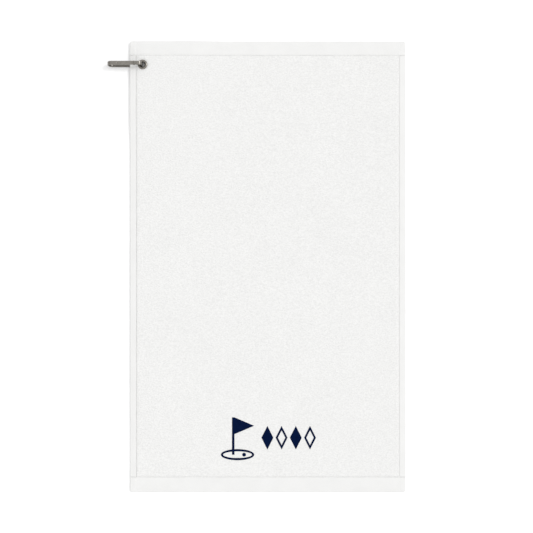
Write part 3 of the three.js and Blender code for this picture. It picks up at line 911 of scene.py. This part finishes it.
def gate():
    """The gate, with a fork over the tang and a half-thickness tongue under the nose."""
    half = STRIP / 2
    top = HOOK_HEIGHT - half
    rings = []
    for i in range(10):
        angle = math.pi / 2 * (1 - i / 9)
        x = PIVOT_X + KNUCKLE * math.sin(angle)
        reach = max(KNUCKLE * math.cos(angle), 0.08)
        rings.append(ring_at(x, PIVOT_Z, 0, 1, STRIP_WIDTH, -reach, reach, 0.25))
    upper = HOOK_HEIGHT - PIVOT_Z
    for back, low in ((0.5, -0.96), (1.0, -0.78), (1.6, -0.5), (2.2, strip_inside - PIVOT_Z)):
        rings.append(ring_at(PIVOT_X - back, PIVOT_Z, 0, 1, STRIP_WIDTH, low, upper))
    shoulder = nose_end + LAP_GAP
    for x, z, nx, nz in straight(PIVOT_X - 3, shoulder + 0.16, top, 1):
        rings.append(ring_at(x, z, nx, nz, STRIP_WIDTH, -half, half))
    rings.append(ring_at(shoulder + 0.04, top, 0, 1, STRIP_WIDTH, -half, half - 0.05))
    low = -half
    high = -LAP_GAP / 2
    tongue = [(shoulder, 0), (shoulder - 0.3, 0), (gate_end + 0.14, 0), (gate_end + 0.05, 0.04),
              (gate_end, 0.13)]
    for x, inset in tongue:
        rings.append(ring_at(x, top, 0, 1, STRIP_WIDTH - 2 * inset, low + inset, high - inset, 0.2))
    piece = loft("hook_gate", rings, [NICKEL])
    slot = peg("fork_slot", KNUCKLE + KNUCKLE_CLEARANCE, TANG_WIDTH + 2 * TANG_GAP, (PIVOT_X, PIVOT_Z), "Y")
    pin = peg("gate_pin_hole", PIN_HOLE, STRIP_WIDTH + 2, (PIVOT_X, PIVOT_Z), "Y")
    return drill(piece, [slot, pin])


def headed(radius, head, height, z0, z1):
    """Profile of a rivet with a domed head on each end."""
    def dome(base, way):
        points = []
        for degrees in (0, 20, 40, 60, 75, 90):
            turn = math.radians(degrees)
            reach = head * math.cos(turn) ** 0.6 if degrees < 90 else 0
            points.append((reach, base + way * height * math.sin(turn)))
        return points

    lower = dome(z0, -1)[::-1]
    return lower + [(radius, z0), (radius, z1)] + dome(z1, 1)


def gate_rivet():
    half = (pin_high[1] - pin_low[1]) / 2
    head = (pin_high[0] - pin_low[0]) / 2
    base = half - PIN_HEAD_HEIGHT
    profile = headed(PIN_RADIUS, head, PIN_HEAD_HEIGHT, -base, base)
    return revolve("hinge_rivet", profile, (PIVOT_X, HOLE_Y, PIVOT_Z), [SPRING], "Y", 40)


def spring_rivet():
    x = (rivet_low[0] + rivet_high[0]) / 2
    head = (rivet_high[0] - rivet_low[0]) / 2
    lower = rivet_low[2] + SPRING_RIVET_HEIGHT
    upper = rivet_high[2] - SPRING_RIVET_HEIGHT
    profile = headed(SPRING_RIVET_RADIUS, head, SPRING_RIVET_HEIGHT, lower, upper)
    return revolve("leaf_rivet", profile, (x, HOLE_Y, 0), [SPRING], "Z", 40)


def gate_spring():
    """The leaf under the knuckle, drawn on a smooth line through the points it must pass."""
    half = LEAF_THICKNESS / 2
    flat = leaf_high[2] - half
    dip = leaf_low[2] + half
    rivet_x = (rivet_low[0] + rivet_high[0]) / 2
    knots_x = [leaf_low[0], PIVOT_X - 1.2, PIVOT_X + 0.7, rivet_x - 0.9, leaf_high[0]]
    knots_z = [flat - 0.02, dip, dip, flat, flat]
    rings = []
    for x in np.linspace(leaf_low[0], leaf_high[0], 60):
        i = min(3, max(0, int(np.searchsorted(knots_x, x)) - 1))
        z = knots_z[i] + (knots_z[i + 1] - knots_z[i]) * smooth(x, knots_x[i], knots_x[i + 1])
        rings.append(ring_at(x, float(z), 0, 1, leaf_high[1] - leaf_low[1], -half, half, 0.08))
    return loft("leaf_spring", rings, [SPRING])


def grommet():
    """Eyelet with a rounded flange and rolled lip, and the washer that the lip holds."""
    radius = (washer_high[0] - washer_low[0]) / 2
    inner = 2.6
    barrel = 2.95
    level = CORNER_LIFT + FIELD_THICKNESS / 2
    crown = (radius + inner) / 2
    half = (radius - inner) / 2
    flange = 0.8
    profile = [(inner, -1.15), (inner + 0.06, -1.28), (inner + 0.2, -1.38), (barrel + 0.3, -1.4),
               (barrel + 0.6, -1.34), (barrel + 0.74, -1.22), (barrel + 0.7, -1.12), (barrel, -1.1),
               (barrel, flange), (radius - 0.12, flange), (radius - 0.02, flange + 0.06)]
    for i in range(17):
        angle = math.pi * i / 16
        profile.append((crown + half * math.cos(angle), flange + 0.16 + 0.64 * math.sin(angle)))
    eyelet = revolve("eyelet", profile, (HOLE_X, HOLE_Y, level), [GROMMET])
    rim = [(barrel + 0.05, -1.05), (radius - 0.1, -1.05), (radius, -0.97), (radius - 0.03, -0.83),
           (radius - 0.1, -0.8), (barrel + 0.05, -0.8)]
    washer = revolve("eyelet_washer", rim, (HOLE_X, HOLE_Y, level), [GROMMET])
    return eyelet, washer


# ---------- putting it together ----------
def place(piece, body, slot, *nodes):
    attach(piece, body)
    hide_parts(*nodes)
    return piece


cloth = place(towel_field(), "towel", "velour", "towel_field")
hems = [
    place(end_hem("hem_head", head_seam - HEM_TUCK, 1), "towel", "hem", "head_hem"),
    place(end_hem("hem_foot", foot_seam + HEM_TUCK, -1), "towel", "hem", "foot_hem"),
    place(side_hem("hem_left", HEM_TUCK - side_seam, -1), "towel", "hem", "left_hem"),
    place(side_hem("hem_right", side_seam - HEM_TUCK, 1), "towel", "hem", "right_hem"),
]
THREAD_END = 1.0
reach_x = HALF_WIDTH - THREAD_END
reach_y = HALF_LENGTH - THREAD_END
seams = {
    "head": ((-reach_x, head_seam), (reach_x, head_seam)),
    "foot": ((-reach_x, foot_seam), (reach_x, foot_seam)),
    "left": ((-side_seam, -reach_y), (-side_seam, reach_y)),
    "right": ((side_seam, -reach_y), (side_seam, reach_y)),
}
for edge, (start, end) in seams.items():
    for kind, face in (("needle", 1), ("bobbin", -1)):
        thread = seam_thread(f"{kind}_stitches_{edge}", start, end, face)
        place(thread, "towel", "thread", f"{edge}_{kind}_thread")

place(printed_flag(), "towel", "ink", "printed_flag")
place(printed_ball(), "towel", "ink", "printed_ball")
for number in range(1, 5):
    place(printed_diamond(number), "towel", "ink", f"printed_diamond_{number}")

eyelet, washer = grommet()
place(eyelet, "towel", "nickel", "grommet_eyelet")
place(washer, "towel", "nickel", "grommet_washer")
place(hook_frame(), "hook", "nickel", "hook_frame")
place(gate_rivet(), "hook", "spring_steel", "gate_rivet")
place(spring_rivet(), "hook", "spring_steel", "spring_rivet")
place(gate(), "gate", "nickel", "gate")
leaf = gate_spring()
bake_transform(leaf)
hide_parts("gate_spring")

# ---------- floor, light and camera ----------
bpy.ops.mesh.primitive_plane_add(size=8)
floor = bpy.context.object
floor.name = "floor"
floor.data.materials.append(floor_material())

HORIZON = 0.62  # brightness of the white room at eye level
ZENITH = 1.18
scene = bpy.context.scene
scene.view_settings.view_transform = "Standard"
world = bpy.data.worlds.new("studio")
scene.world = world
world.use_nodes = True
sky = world.node_tree
rise = sky.nodes.new("ShaderNodeSeparateXYZ")
sky.links.new(sky.nodes.new("ShaderNodeTexCoord").outputs["Generated"], rise.inputs[0])
dome = sky.nodes.new("ShaderNodeMapRange")
sky.links.new(rise.outputs["Z"], dome.inputs["Value"])
for key, value in {"From Min": 0, "From Max": 1, "To Min": HORIZON, "To Max": ZENITH}.items():
    dome.inputs[key].default_value = value
sky.links.new(dome.outputs[0], sky.nodes["Background"].inputs["Strength"])
sky.nodes["Background"].inputs["Color"].default_value = (1, 1, 1, 1)


def distant_softbox(name, azimuth, elevation, width, power):
    """A soft light far away, width degrees across. Azimuth 0 is +X and 90 is +Y."""
    light = bpy.data.lights.new(name, "SUN")
    light.angle = math.radians(width)
    light.energy = power
    lamp = bpy.data.objects.new(name, light)
    turn, rise = math.radians(azimuth), math.radians(elevation)
    way = Vector((math.cos(turn) * math.cos(rise), math.sin(turn) * math.cos(rise), math.sin(rise)))
    lamp.rotation_euler = way.to_track_quat("Z", "Y").to_euler()
    scene.collection.objects.link(lamp)


distant_softbox("key", 21, 50, 16, 0.8)

CAMERA_HEIGHT = 1.0
VIEW_WIDTH = 0.5403
camera = bpy.data.cameras.new("camera")
camera.sensor_width = 36
camera.lens = 36 * CAMERA_HEIGHT / VIEW_WIDTH
viewer = bpy.data.objects.new("camera", camera)
viewer.location = (-0.0013, 0.0003, CAMERA_HEIGHT + FIELD_THICKNESS * MM)
scene.collection.objects.link(viewer)
scene.camera = viewer
